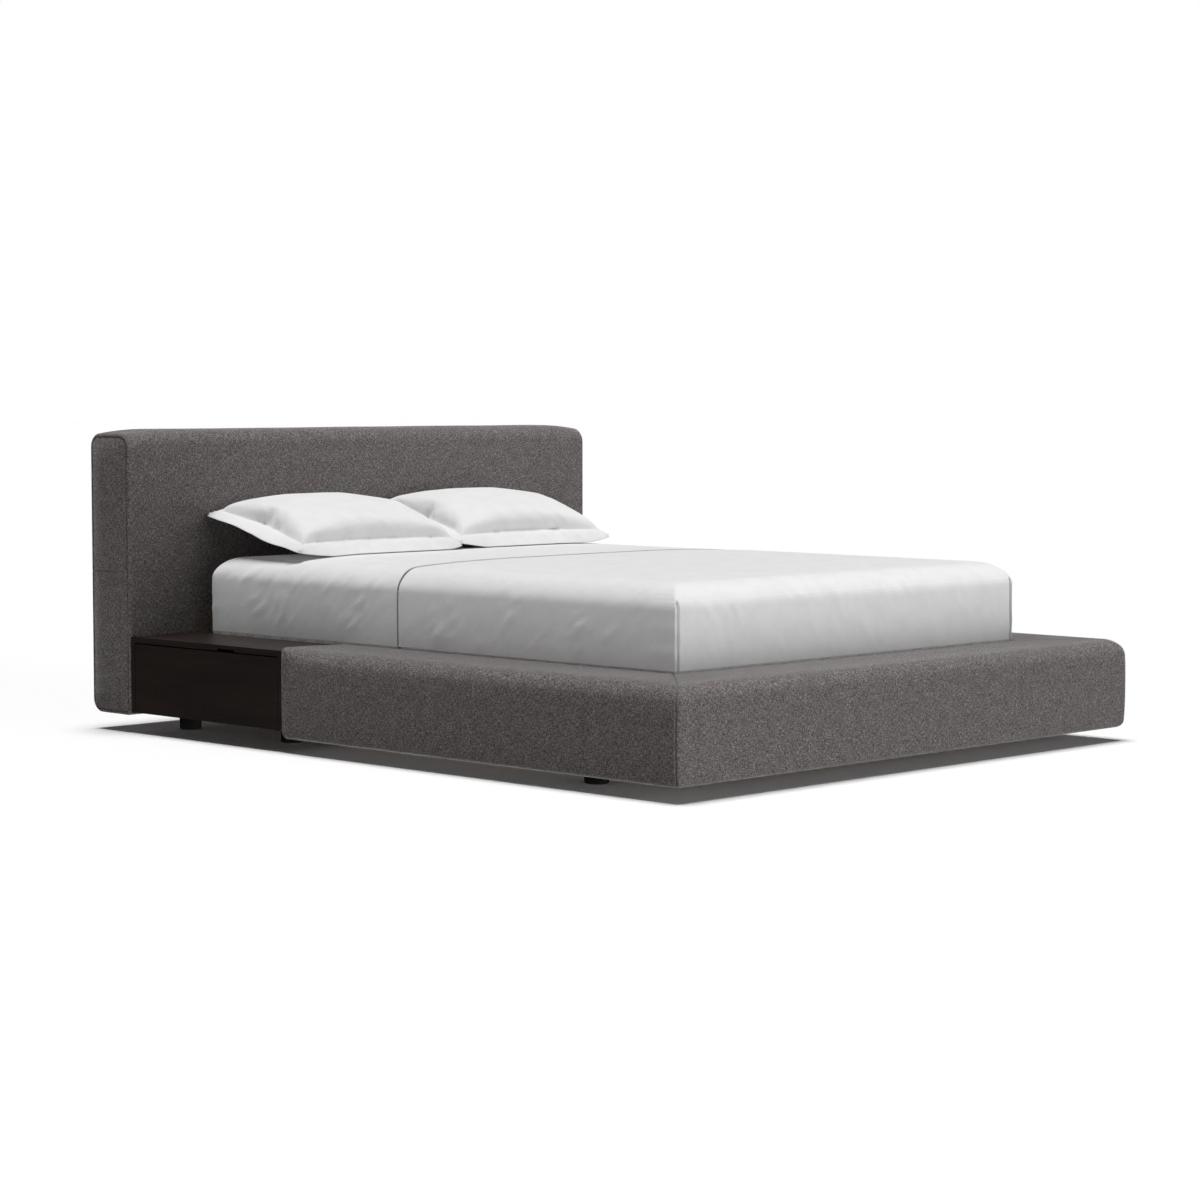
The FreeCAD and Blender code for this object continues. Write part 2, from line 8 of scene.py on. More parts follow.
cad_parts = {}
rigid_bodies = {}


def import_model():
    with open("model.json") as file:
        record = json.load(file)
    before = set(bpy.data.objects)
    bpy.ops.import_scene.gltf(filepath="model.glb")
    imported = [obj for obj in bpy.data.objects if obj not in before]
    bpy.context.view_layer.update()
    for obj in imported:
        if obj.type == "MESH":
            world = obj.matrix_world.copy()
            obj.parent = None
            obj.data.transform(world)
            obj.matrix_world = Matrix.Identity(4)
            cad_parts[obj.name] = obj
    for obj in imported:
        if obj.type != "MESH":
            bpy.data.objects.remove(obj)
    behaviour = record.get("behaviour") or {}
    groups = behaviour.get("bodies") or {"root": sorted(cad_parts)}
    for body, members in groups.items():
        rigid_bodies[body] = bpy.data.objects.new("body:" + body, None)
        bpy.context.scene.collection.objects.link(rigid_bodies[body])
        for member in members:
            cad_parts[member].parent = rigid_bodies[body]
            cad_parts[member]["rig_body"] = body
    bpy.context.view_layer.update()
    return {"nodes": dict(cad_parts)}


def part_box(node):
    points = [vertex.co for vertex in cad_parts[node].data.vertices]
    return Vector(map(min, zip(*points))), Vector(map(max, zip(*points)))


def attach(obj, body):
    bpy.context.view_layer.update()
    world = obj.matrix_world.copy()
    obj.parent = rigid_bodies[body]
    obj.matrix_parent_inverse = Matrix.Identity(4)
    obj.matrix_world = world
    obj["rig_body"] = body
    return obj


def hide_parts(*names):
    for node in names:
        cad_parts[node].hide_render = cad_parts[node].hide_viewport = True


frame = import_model()
scene = bpy.context.scene
scene.view_settings.view_transform = "Standard"
mm = 0.001
print("frame loaded")

# small tools that every piece shares


def hexToLinear(code):
    channels = [int(code[i:i + 2], 16) / 255 for i in (1, 3, 5)]
    return [c / 12.92 if c <= 0.04045 else ((c + 0.055) / 1.055) ** 2.4 for c in channels] + [1.0]


def addNode(tree, kind, inputs=None, **settings):
    # inputs holds a value, a hex colour or another node's output for each socket
    node = tree.nodes.new(kind)
    for name, value in settings.items():
        setattr(node, name, value)
    for socket, value in (inputs or {}).items():
        if isinstance(value, bpy.types.NodeSocket):
            tree.links.new(value, node.inputs[socket])
        elif isinstance(value, str):
            node.inputs[socket].default_value = hexToLinear(value)
        else:
            node.inputs[socket].default_value = value
    return node


def doMath(tree, operation, first, second=0.0):
    return addNode(tree, "ShaderNodeMath", {0: first, 1: second}, operation=operation).outputs[0]


def mixColours(tree, factor, first, second, blend="MIX"):
    return addNode(tree, "ShaderNodeMix", {0: factor, 6: first, 7: second},
                   data_type="RGBA", blend_type=blend).outputs[2]


def addRamp(tree, factor, stops):
    ramp = addNode(tree, "ShaderNodeValToRGB", {"Fac": factor})
    elements = ramp.color_ramp.elements
    while len(elements) < len(stops):
        elements.new(0.5)
    for element, (place, code) in zip(elements, stops):
        element.position = place
        element.color = hexToLinear(code)
    return ramp.outputs["Color"]


def addNoise(tree, place, scale, detail=2.0, roughness=0.5, **settings):
    # scale is a number, or one number for each axis where the pattern is drawn out
    if not isinstance(scale, (int, float)):
        place = addNode(tree, "ShaderNodeMapping", {"Vector": place, "Scale": scale}).outputs[0]
        scale = 1.0
    return addNode(tree, "ShaderNodeTexNoise", {"Vector": place, "Scale": float(scale), "Detail": detail,
                                                "Roughness": roughness}, **settings).outputs["Fac"]


def addBump(tree, shader, height, strength, distance, under=None):
    inputs = {"Height": height, "Strength": strength, "Distance": distance}
    if under is not None:
        inputs["Normal"] = under
    bump = addNode(tree, "ShaderNodeBump", inputs)
    tree.links.new(bump.outputs[0], shader.inputs["Normal"])
    return bump.outputs[0]


def startMaterial(name, **surface):
    material = bpy.data.materials.new(name)
    material.use_nodes = True
    shader = material.node_tree.nodes["Principled BSDF"]
    for socket, value in surface.items():
        shader.inputs[socket.replace("_", " ")].default_value = value
    return material, material.node_tree, shader


def smoothStep(value):
    value = min(1.0, max(0.0, value))
    return value * value * (3 - 2 * value)


def startBox(low, high):
    bm = bmesh.new()
    bmesh.ops.create_cube(bm, size=1)
    bmesh.ops.scale(bm, vec=Vector(high) - Vector(low), verts=bm.verts)
    bmesh.ops.translate(bm, vec=(Vector(low) + Vector(high)) / 2, verts=bm.verts)
    return bm


def runsAlong(edge, axis):
    step = edge.verts[0].co - edge.verts[1].co
    return abs(step[axis]) > 0.99 * step.length


def liesAt(edge, axis, value):
    return all(abs(vertex.co[axis] - value) < 1e-4 for vertex in edge.verts)


def roundEdges(bm, edges, radius, segments):
    return bmesh.ops.bevel(bm, geom=list(edges), offset=radius, offset_type="OFFSET", affect="EDGES",
                           segments=segments, profile=0.5, material=-1, clamp_overlap=True)


def insetFace(bm, face, inward, outward):
    bmesh.ops.inset_individual(bm, faces=[face], thickness=inward, depth=outward, use_even_offset=True)


def roundCap(bm, face, radius, turns):
    # turns the faces around a cap over to it in a quarter circle
    for i in range(turns):
        start, end = math.pi / 2 * i / turns, math.pi / 2 * (i + 1) / turns
        inward, outward = math.cos(start) - math.cos(end), math.sin(end) - math.sin(start)
        insetFace(bm, face, radius * inward, radius * outward)


def sliceAlong(bm, axis, places, chosen=None):
    # cuts the mesh square to an axis at each place
    normal = [0, 0, 0]
    normal[axis] = 1
    for place in places:
        middle = [0, 0, 0]
        middle[axis] = place
        faces, edges = bm.faces[:], bm.edges[:]
        if chosen:
            faces = [face for face in faces if chosen(face)]
            edges = [edge for edge in edges if any(chosen(face) for face in edge.link_faces)]
        bmesh.ops.bisect_plane(bm, geom=bm.verts[:] + edges + faces, dist=1e-5,
                               plane_co=middle, plane_no=normal)


def evenPlaces(low, high, step):
    count = max(2, round((high - low) / step))
    return [low + (high - low) * i / count for i in range(1, count)]


def cutFiner(bm, size, chosen=lambda edge: True):
    # halves every long edge until none is much over the size
    while True:
        edges = [edge for edge in bm.edges if edge.calc_length() > 1.5 * size and chosen(edge)]
        if not edges:
            return
        bmesh.ops.subdivide_edges(bm, edges=edges, cuts=1, use_grid_fill=True)


def mapCloth(bm):
    # lays the cloth square on each face, in metres, by the way the face looks
    layer = bm.loops.layers.uv.new("cloth")
    bm.normal_update()
    for face in bm.faces:
        facing = max(range(3), key=lambda axis: abs(face.normal[axis]))
        across, up = {0: (1, 2), 1: (0, 2), 2: (0, 1)}[facing]
        for loop in face.loops:
            loop[layer].uv = (loop.vert.co[across], loop.vert.co[up])


def mirrorAcross(bm):
    bmesh.ops.scale(bm, vec=(-1, 1, 1), verts=bm.verts)
    bmesh.ops.reverse_faces(bm, faces=bm.faces)


def makePiece(name, bm, material, body, replaced=(), smooth=True):
    if smooth:
        for face in bm.faces:
            face.smooth = True
    mesh = bpy.data.meshes.new(name)
    bm.to_mesh(mesh)
    bm.free()
    mesh.materials.append(material)
    piece = bpy.data.objects.new(name, mesh)
    scene.collection.objects.link(piece)
    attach(piece, body)
    if replaced:
        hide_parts(*replaced)
    return piece


# materials

upholsteryLook = {"threadMm": 3.0, "dark": "#3c3837", "low": "#656160", "mid": "#867f7e", "light": "#b4aeac"}
# the cotton's second colour is painted shade, laid in the crumples where the cloth dips
cottonLook = {"threadMm": 1.4, "colour": "#eaeaea", "creaseShade": "#e6e6e7", "slant": 42}
espressoLook = {"dark": "#0f0906", "mid": "#1c120d", "light": "#2b1e17", "grainMm": 2.5}
birchLook = {"dark": "#b89a6c", "mid": "#cdb182", "light": "#dcc79d", "grainMm": 3.0}
plyLook = {"dark": "#9b7b51", "mid": "#b4935f", "light": "#c8aa78", "grainMm": 4.0}
pineLook = {"dark": "#b98d52", "mid": "#d9b67c", "light": "#e8cd9a", "grainMm": 7.0}
quiltMm = 60


def crossThreads(tree, uv, thread):
    # which of warp and weft lies on top in a plain weave, and the round of each thread
    scaled = addNode(tree, "ShaderNodeVectorMath", {0: uv, "Scale": math.pi / thread}, operation="SCALE")
    parts = addNode(tree, "ShaderNodeSeparateXYZ", {0: scaled.outputs[0]})
    warp, weft = (doMath(tree, "SINE", parts.outputs[i]) for i in (0, 1))
    product = doMath(tree, "MULTIPLY", warp, weft)
    return doMath(tree, "GREATER_THAN", product, 0.0), doMath(tree, "ABSOLUTE", product)


def makeUpholstery():
    # wool-blend melange, plain woven from flecked yarn: matt, salt-and-pepper, a faint bloom at its turns;
    # its threads of about 1.5 mm are drawn twice as coarse, so that the weave shows
    material, tree, shader = startMaterial("wovenMelangeWool", Roughness=0.95, Specular_IOR_Level=0.15,
                                           Sheen_Weight=1.0, Sheen_Roughness=0.22)
    thread = upholsteryLook["threadMm"] * mm
    uv = addNode(tree, "ShaderNodeUVMap", uv_map="cloth").outputs[0]
    over, height = crossThreads(tree, uv, thread)
    long, short = 1 / (thread * 3.5), 1 / (thread * 1.05)
    weft = addNoise(tree, uv, (long, short, 1), 2.0, 0.7, noise_dimensions="2D")
    warp = addNoise(tree, uv, (short, long, 1), 2.0, 0.7, noise_dimensions="2D")
    yarn = addNode(tree, "ShaderNodeMix", {0: over, 2: warp, 3: weft}).outputs[0]
    fleck = addRamp(tree, yarn, ((0.3, upholsteryLook["dark"]), (0.45, upholsteryLook["low"]),
                                 (0.57, upholsteryLook["mid"]), (0.74, upholsteryLook["light"])))
    cloud = addNoise(tree, uv, 26, 3.0)
    shade = addRamp(tree, cloud, ((0.32, "#e8e8e8"), (0.68, "#ffffff")))
    tree.links.new(mixColours(tree, 1.0, fleck, shade, "MULTIPLY"), shader.inputs["Base Color"])
    addBump(tree, shader, doMath(tree, "ADD", height, doMath(tree, "MULTIPLY", yarn, 1.3)), 0.45, 0.0012)
    return material


def makeCotton():
    # washed cotton percale: white, matt, a fine even weave that a low light barely picks out
    material, tree, shader = startMaterial("wovenCottonPercale", Roughness=0.88, Specular_IOR_Level=0.25,
                                           Sheen_Weight=0.2, Sheen_Roughness=0.6)
    uv = addNode(tree, "ShaderNodeUVMap", uv_map="cloth").outputs[0]
    height = crossThreads(tree, uv, cottonLook["threadMm"] * mm)[1]
    crush = addNoise(tree, uv, 14, 3.0, 0.5)
    # darker where the crush noise dips, as the bump below does: painted shade in the crumples
    colour = addRamp(tree, crush, ((0.35, cottonLook["creaseShade"]), (0.6, cottonLook["colour"])))
    tree.links.new(colour, shader.inputs["Base Color"])
    slant = (0, 0, math.radians(cottonLook["slant"]))
    turned = addNode(tree, "ShaderNodeMapping", {"Vector": uv, "Rotation": slant}).outputs[0]
    creases = addNoise(tree, turned, (13, 30, 1), 3.0, 0.5, noise_dimensions="2D")
    both = doMath(tree, "ADD", doMath(tree, "MULTIPLY", crush, 0.35), creases)
    soft = addBump(tree, shader, both, 0.4, 0.003)
    addBump(tree, shader, height, 0.12, 0.0003, soft)
    return material


def drawGrain(tree, look, along, figure):
    # long fibres of one grain width, over the slower figure of the board
    place = addNode(tree, "ShaderNodeTexCoord").outputs["Object"]
    fine, long = 1 / (look["grainMm"] * mm), 1 / (look["grainMm"] * 40 * mm)
    fibres = addNoise(tree, place, [long if axis == along else fine for axis in range(3)], 5.0, 0.65)
    broad = addNoise(tree, place, [figure * (0.12 if axis == along else 1) for axis in range(3)], 2.0, 0.5)
    both = doMath(tree, "ADD", doMath(tree, "MULTIPLY", fibres, 0.55), doMath(tree, "MULTIPLY", broad, 0.45))
    colour = addRamp(tree, both, ((0.37, look["dark"]), (0.5, look["mid"]), (0.64, look["light"])))
    return fibres, colour


def makeEspresso():
    # oak veneer under espresso stain and satin lacquer: nearly black, long straight grain, a low wide shine
    material, tree, shader = startMaterial("espressoStainedOak", Roughness=0.45, Specular_IOR_Level=0.3)
    fibres, colour = drawGrain(tree, espressoLook, 1, 16)
    tree.links.new(colour, shader.inputs["Base Color"])
    addBump(tree, shader, fibres, 0.2, 0.0004)
    return material


def makeBirch():
    # birch plywood under clear lacquer: pale honey, close even grain, a soft shine
    material, tree, shader = startMaterial("lacqueredBirchPly", Roughness=0.38, Coat_Weight=0.3,
                                           Coat_Roughness=0.3)
    fibres, colour = drawGrain(tree, birchLook, 1, 9)
    tree.links.new(colour, shader.inputs["Base Color"])
    addBump(tree, shader, fibres, 0.12, 0.0003)
    return material


def makeRawPly():
    # unfinished softwood plywood: dry, open grain and no shine
    material, tree, shader = startMaterial("rawSoftwoodPly", Roughness=0.85)
    fibres, colour = drawGrain(tree, plyLook, 0, 7)
    tree.links.new(colour, shader.inputs["Base Color"])
    addBump(tree, shader, fibres, 0.35, 0.0005)
    return material


def makePine():
    # planed pine: warm pale wood with wide growth bands, dull
    material, tree, shader = startMaterial("planedPine", Roughness=0.62)
    fibres, colour = drawGrain(tree, pineLook, 0, 22)
    tree.links.new(colour, shader.inputs["Base Color"])
    addBump(tree, shader, fibres, 0.25, 0.0005)
    return material


def makeFoam():
    # cut polyurethane foam: cream, dull, open cells of about a millimetre, drawn at three so that they show
    material, tree, shader = startMaterial("cutUrethaneFoam", Roughness=0.97, Specular_IOR_Level=0.1)
    place = addNode(tree, "ShaderNodeTexCoord").outputs["Object"]
    cells = addNode(tree, "ShaderNodeTexVoronoi", {"Vector": place, "Scale": 330.0}).outputs["Distance"]
    # darker at the heart of each cell, where the bump dips: painted shade in the open cells
    colour = addRamp(tree, cells, ((0.1, "#b9ac82"), (0.6, "#e6dcb8")))
    tree.links.new(colour, shader.inputs["Base Color"])
    addBump(tree, shader, cells, 0.6, 0.001)
    return material


def makeZinc():
    # rolled steel, zinc plated: light grey with a faint rolled streak, half bright
    material, tree, shader = startMaterial("zincPlatedSteel", Metallic=1.0)
    place = addNode(tree, "ShaderNodeTexCoord").outputs["Object"]
    streak = addNoise(tree, place, (9, 260, 900), 3.0)
    tree.links.new(addRamp(tree, streak, ((0.3, "#9fa3a6"), (0.7, "#c3c6c9"))), shader.inputs["Base Color"])
    rough = addNode(tree, "ShaderNodeMapRange", {"Value": streak, "To Min": 0.28, "To Max": 0.46})
    tree.links.new(rough.outputs[0], shader.inputs["Roughness"])
    return material


def makePowderCoat():
    # steel under black powder coat: dark, with the fine orange peel of a baked powder
    material, tree, shader = startMaterial("blackPowderCoat", Roughness=0.5)
    place = addNode(tree, "ShaderNodeTexCoord").outputs["Object"]
    peel = addNoise(tree, place, 650, 2.0)
    tree.links.new(addRamp(tree, peel, ((0.35, "#131313"), (0.65, "#1d1d1e"))), shader.inputs["Base Color"])
    addBump(tree, shader, peel, 0.3, 0.0003)
    return material


def makeBlackPlastic():
    # moulded polypropylene with a spark-eroded grain: black, satin to matt
    material, tree, shader = startMaterial("grainedPolypropylene", Roughness=0.7, IOR=1.49,
                                           Specular_IOR_Level=0.1)
    place = addNode(tree, "ShaderNodeTexCoord").outputs["Object"]
    grain = addNoise(tree, place, 900, 3.0)
    tree.links.new(addRamp(tree, grain, ((0.35, "#070707"), (0.65, "#0d0d0e"))), shader.inputs["Base Color"])
    addBump(tree, shader, grain, 0.35, 0.0003)
    return material


def makeTicking():
    # knitted damask ticking quilted to thin foam: off-white, soft diamonds of about 60 mm
    material, tree, shader = startMaterial("quiltedTicking", Roughness=0.9, Sheen_Weight=0.15,
                                           Sheen_Roughness=0.6)
    uv = addNode(tree, "ShaderNodeUVMap", uv_map="cloth").outputs[0]
    turned = addNode(tree, "ShaderNodeMapping", {"Vector": uv, "Rotation": (0, 0, math.pi / 4)}).outputs[0]
    quilt = crossThreads(tree, turned, quiltMm * mm)[1]
    dimple = doMath(tree, "POWER", quilt, 0.35)
    # darker towards the quilting lines, where the bump dips: painted shade in the quilting
    tree.links.new(addRamp(tree, dimple, ((0.2, "#c9c8c3"), (0.7, "#e4e3df"))), shader.inputs["Base Color"])
    addBump(tree, shader, dimple, 0.8, 0.006)
    return material


finishes = {"upholstery": makeUpholstery(), "white_cotton": makeCotton(), "espresso_wood": makeEspresso(),
            "drawer_ply": makeBirch(), "frame_ply": makeRawPly(), "pine": makePine(), "foam": makeFoam(),
            "zinc_steel": makeZinc(), "black_steel": makePowderCoat(), "black_plastic": makeBlackPlastic(),
            "mattress_ticking": makeTicking()}
for node in frame["nodes"].values():
    for holder in node.material_slots:
        holder.material = finishes[holder.material.name]
print("materials made")

# headboard: one cloth over front, top and back, with an end panel sewn in at each side

headboardLook = {"topFront": 46 * mm, "topBack": 40 * mm, "lowBack": 44 * mm, "lowFront": 22 * mm,
                 "endRound": 8 * mm, "droop": 14 * mm, "droopReach": 180 * mm, "bulge": 6 * mm,
                 "crown": 4 * mm, "panelBulge": 5 * mm, "panelEdge": 14 * mm, "panelReach": 70 * mm,
                 "endFade": 120 * mm, "topReach": 160 * mm, "joinHeight": 509 * mm, "joinDepth": 2.2 * mm,
                 "unevenness": 1.2 * mm, "fuller": (3, 4, 0)}
foamLook = {"clothThick": 7 * mm, "endInset": 22 * mm, "foamThick": 14 * mm}
# inward and outward steps in mm, from the wrap to the end panel
seamSteps = ((1.2, -6.0), (2.6, 0.0), (1.6, 5.6), (3.0, 1.4))


def sewEnd(bm, axis, side, radius):
    # the wrap turns over the end, dips into the seam, and the end panel rises out of it
    face = max(bm.faces, key=lambda f: f.normal[axis] * side * f.calc_area())
    roundCap(bm, face, radius, 5)
    for inward, outward in seamSteps:
        insetFace(bm, face, inward * mm, outward * mm)


def padUnder(bm, name, node):
    # the foam that lies under a cover: the cover's own shape, drawn in on every side
    foam = bm.copy()
    low = Vector([min(v.co[i] for v in foam.verts) for i in range(3)])
    high = Vector([max(v.co[i] for v in foam.verts) for i in range(3)])
    middle, half = (low + high) / 2, (high - low) / 2
    longest = max(range(3), key=lambda axis: half[axis])
    for vertex in foam.verts:
        for axis in range(3):
            inset = foamLook["endInset"] if axis == longest else foamLook["clothThick"]
            vertex.co[axis] = middle[axis] + (vertex.co[axis] - middle[axis]) * (1 - inset / half[axis])
    bmesh.ops.solidify(foam, geom=foam.faces[:], thickness=foamLook["foamThick"])
    makePiece(name, foam, finishes["foam"], "bed", [node])


def buildHeadboard():
    look = headboardLook
    low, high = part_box("headboard_cover")
    low, high = low - Vector(look["fuller"]) * mm, high + Vector(look["fuller"]) * mm
    low.y += look["fuller"][1] * mm
    panelRise = sum(outward for inward, outward in seamSteps) * mm
    cap = high.x - look["endRound"] - panelRise
    bm = startBox((-cap, low.y, low.z), (cap, high.y, high.z))
    rounds = ((low.y, high.z, "topFront"), (high.y, high.z, "topBack"), (high.y, low.z, "lowBack"),
              (low.y, low.z, "lowFront"))
    for y, z, radius in rounds:
        edges = [e for e in bm.edges if runsAlong(e, 0) and liesAt(e, 1, y) and liesAt(e, 2, z)]
        roundEdges(bm, edges, look[radius], 8)
    for side in (-1, 1):
        sewEnd(bm, 0, side, look["endRound"])
    reach = look["droopReach"]
    nearEnds = evenPlaces(cap - reach, cap - 2 * mm, 18 * mm)
    sliceAlong(bm, 0, evenPlaces(-cap + reach, cap - reach, 50 * mm) + nearEnds + [-x for x in nearEnds])
    sliceAlong(bm, 1, evenPlaces(low.y + 40 * mm, high.y - 40 * mm, 30 * mm))
    join = [look["joinHeight"] + step * mm for step in (-4, -1.5, 0, 1.5, 4)]
    sliceAlong(bm, 2, evenPlaces(low.z + 40 * mm, high.z - 40 * mm, 50 * mm) + join)
    bm.normal_update()
    for vertex in bm.verts:
        if abs(vertex.co.z - look["joinHeight"]) < 1 * mm:
            vertex.co -= vertex.normal * look["joinDepth"]
    middle, half = (low + high) / 2, (high - low) / 2
    for vertex in bm.verts:
        shapeHeadboard(vertex, middle, half, cap + look["endRound"])
    padUnder(bm, "headboardFoam", "headboard_foam")
    mapCloth(bm)
    piece = makePiece("headboardCover", bm, finishes["upholstery"], "bed", ["headboard_cover"])


def shapeHeadboard(vertex, middle, half, cap):
    # stuffs the front and the top, lets the top sink towards the end seams, and fills the end panels
    look = headboardLook
    x, y, z = vertex.co
    across, deep, tall = ((vertex.co[i] - middle[i]) / half[i] for i in range(3))
    fromEnd = max(0.0, cap - abs(x))
    ends = smoothStep(fromEnd / look["endFade"])
    sink = max(0.0, 1 - fromEnd / look["droopReach"]) ** 2
    high = smoothStep((z - (middle.z + half.z - look["topReach"])) / look["topReach"])
    room = (1 - min(1.0, abs(tall)) ** 5) * ends
    vertex.co.y += look["bulge"] * math.copysign(min(1.0, abs(deep) * 1.05) ** 3, deep) * room
    crown = look["crown"] * max(0.0, tall) ** 6 * (1 - min(1.0, abs(deep)) ** 4)
    vertex.co.z += crown - look["droop"] * sink * high
    if abs(x) > cap - 1 * mm:
        inside = min(half.y - abs(y - middle.y), half.z - abs(z - middle.z)) - look["panelEdge"]
        fill = 1 - (1 - min(1.0, max(0.0, inside) / look["panelReach"])) ** 2
        vertex.co.x += math.copysign(look["panelBulge"] * fill, x)
    wave = noise.noise(Vector((x * 3.5, y * 3.5 + 9, z * 4.5)))
    vertex.co.y += look["unevenness"] * wave * ends
    vertex.co.z += look["unevenness"] * noise.noise(Vector((x * 4.0, 3.1, 7.7))) * high


buildHeadboard()
print("headboard made")

# rails: foam boxes under cloth, mitred and seamed at the foot corners, with an end panel at the cabinet

railLook = {"topOuter": 52 * mm, "topInner": 11 * mm, "lowOuter": 22 * mm, "lowInner": 14 * mm,
            "endRound": 8 * mm, "endCorner": 17 * mm, "endReach": 90 * mm, "mitreRound": 4 * mm,
            "sag": 7 * mm, "wider": 8 * mm, "sideBow": 7 * mm, "footBow": 3 * mm, "headFade": 160 * mm,
            "crown": -1.5 * mm, "innerFall": 5 * mm, "cornerTurn": 4 * mm, "cornerReach": 18 * mm,
            "unevenness": 1.0 * mm}


def cutMitre(bm, corner, normal):
    # cuts the rail at 45 degrees, caps it, and turns its edges in to the seam
    radius = railLook["mitreRound"]
    place = Vector(corner) - normal * (radius + 0.3 * mm)
    cut = bmesh.ops.bisect_plane(bm, geom=bm.verts[:] + bm.edges[:] + bm.faces[:], dist=1e-6, plane_co=place,
                                 plane_no=normal, clear_outer=True)
    edges = [item for item in cut["geom_cut"] if isinstance(item, bmesh.types.BMEdge)]
    cap = bmesh.ops.edgeloop_fill(bm, edges=edges)["faces"][0]
    if cap.normal.dot(normal) < 0:
        cap.normal_flip()
    roundCap(bm, cap, radius, 4)


def squareEnd(bm, outer, top, end):
    # the end panel at the cabinet is cut nearly square, so the round of the rail tightens towards it
    look = railLook
    wide, tight = look["topOuter"], look["endCorner"]
    for vertex in bm.verts:
        across, down = outer + wide - vertex.co.x, vertex.co.z - top + wide
        share = smoothStep(1 - (end - vertex.co.y) / look["endReach"])
        if across <= 0 or down <= 0 or share == 0:
            continue
        reach = math.hypot(across, down)
        inside = tight - (wide - reach)
        x, z = outer + tight - across / reach * inside, top - tight + down / reach * inside
        vertex.co = vertex.co.lerp(Vector((x, vertex.co.y, z)), share)


def buildRailForm(outer, inner, start, end, floor, top, mitredEnd):
    # a rail whose outer face looks to -X, from its foot corner at start to its other end
    look = railLook
    last = end if mitredEnd else end - look["endRound"]
    bm = startBox((outer, start, floor), (inner, last, top))
    for x, z, radius in ((outer, top, "topOuter"), (inner, top, "topInner"), (outer, floor, "lowOuter"),
                         (inner, floor, "lowInner")):
        edges = [e for e in bm.edges if runsAlong(e, 1) and liesAt(e, 0, x) and liesAt(e, 2, z)]
        roundEdges(bm, edges, look[radius], 8)
    cutMitre(bm, (outer, start, 0), Vector((1, -1, 0)).normalized())
    if mitredEnd:
        cutMitre(bm, (outer, end, 0), Vector((1, 1, 0)).normalized())
    else:
        roundCap(bm, max(bm.faces, key=lambda f: f.normal.y * f.calc_area()), look["endRound"], 5)
    nearEnd = evenPlaces(start, start + 90 * mm, 12 * mm)
    if mitredEnd:
        nearEnd += [-y for y in nearEnd]
    sliceAlong(bm, 1, evenPlaces(start + 90 * mm, end - 90 * mm, 45 * mm) + nearEnd)
    if not mitredEnd:
        sliceAlong(bm, 1, evenPlaces(end - 90 * mm, last, 15 * mm))
        squareEnd(bm, outer, top, end)
    sliceAlong(bm, 0, evenPlaces(outer + 20 * mm, inner - 10 * mm, 25 * mm))
    sliceAlong(bm, 2, evenPlaces(floor + 20 * mm, top - 20 * mm, 25 * mm))
    return bm


def shapeRails(bm):
    # fills the faces and lets the top fall inwards, by place alone, so that the rails still meet at
    # their mitres
    look = railLook
    low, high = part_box("foot_rail_cover")
    half = (high.y - low.y) / 2
    high.x += look["wider"]
    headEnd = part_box("left_rail_cover")[1].y
    floor = low.z - look["sag"]
    for vertex in bm.verts:
        x, y, z = vertex.co
        side, foot = (abs(x) - high.x + half) / half, (low.y + half - y) / half
        tall = (z - (floor + high.z) / 2) / ((high.z - floor) / 2)
        across = max(-1.0, min(1.0, max(side, foot)))
        sideOut, footOut = max(0.0, min(1.0, side)) ** 2, max(0.0, min(1.0, foot)) ** 2
        room = 1 - min(1.0, abs(tall)) ** 2.6
        headFade = 0.3 + 0.7 * smoothStep((headEnd - y) / look["headFade"])
        wave = look["unevenness"] * noise.noise(Vector((x * 4, y * 4, z * 5 + 4)))
        turn = look["cornerTurn"] * max(0.0, 1 - (high.x - abs(x)) / look["cornerReach"]) ** 2
        vertex.co.x += math.copysign((look["sideBow"] * room * headFade + wave) * sideOut, x)
        vertex.co.y -= (look["footBow"] * room + wave - turn) * footOut
        fall = look["innerFall"] * smoothStep((0.3 - across) / 1.3)
        vertex.co.z += (look["crown"] * (1 - abs(across) ** 3) - fall) * max(0.0, tall) ** 4


def buildRails():
    low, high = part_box("left_rail_cover")
    footLow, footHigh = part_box("foot_rail_cover")
    floor = low.z - railLook["sag"]
    low.x -= railLook["wider"]
    footLow.x, footHigh.x = footLow.x - railLook["wider"], footHigh.x + railLook["wider"]
    for name in ("left", "right", "foot"):
        if name == "foot":
            bm = buildRailForm(footLow.y, footHigh.y, footLow.x, footHigh.x, floor, footHigh.z, True)
            bmesh.ops.rotate(bm, verts=bm.verts, cent=(0, 0, 0), matrix=Matrix.Rotation(math.pi / 2, 3, "Z"))
        else:
            bm = buildRailForm(low.x, high.x, low.y, high.y, floor, high.z, False)
        if name == "right":
            mirrorAcross(bm)
        shapeRails(bm)
        padUnder(bm, name + "RailFoam", name + "_rail_foam")
        mapCloth(bm)
        piece = makePiece(name + "RailCover", bm, finishes["upholstery"], "bed",
                          [name + "_rail_cover"])


buildRails()
print("rails made")

# cabinets, drawer fronts and feet: the boards of the frame with their edges eased

easeLook = {"board": 1.2 * mm, "foot": 2.5 * mm}
easedBoards = ("cabinet_top", "cabinet_riser", "cabinet_head_side", "cabinet_foot_side", "drawer_front")


def easeNode(node, ease):
    source = frame["nodes"][node]
    bm = bmesh.new()
    bm.from_mesh(source.data)
    bmesh.ops.remove_doubles(bm, verts=bm.verts, dist=1e-5)
    bmesh.ops.dissolve_limit(bm, angle_limit=math.radians(1), verts=bm.verts, edges=bm.edges)
    sharp = [e for e in bm.edges if len(e.link_faces) == 2 and e.calc_face_angle() > math.radians(40)]
    for face in bm.faces:
        face.smooth = False
    for face in roundEdges(bm, sharp, ease, 3)["faces"]:
        face.smooth = True
    slot = source.material_slots[0].material
    name = "eased_" + node
    makePiece(name, bm, slot, source["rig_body"], [node], smooth=False)


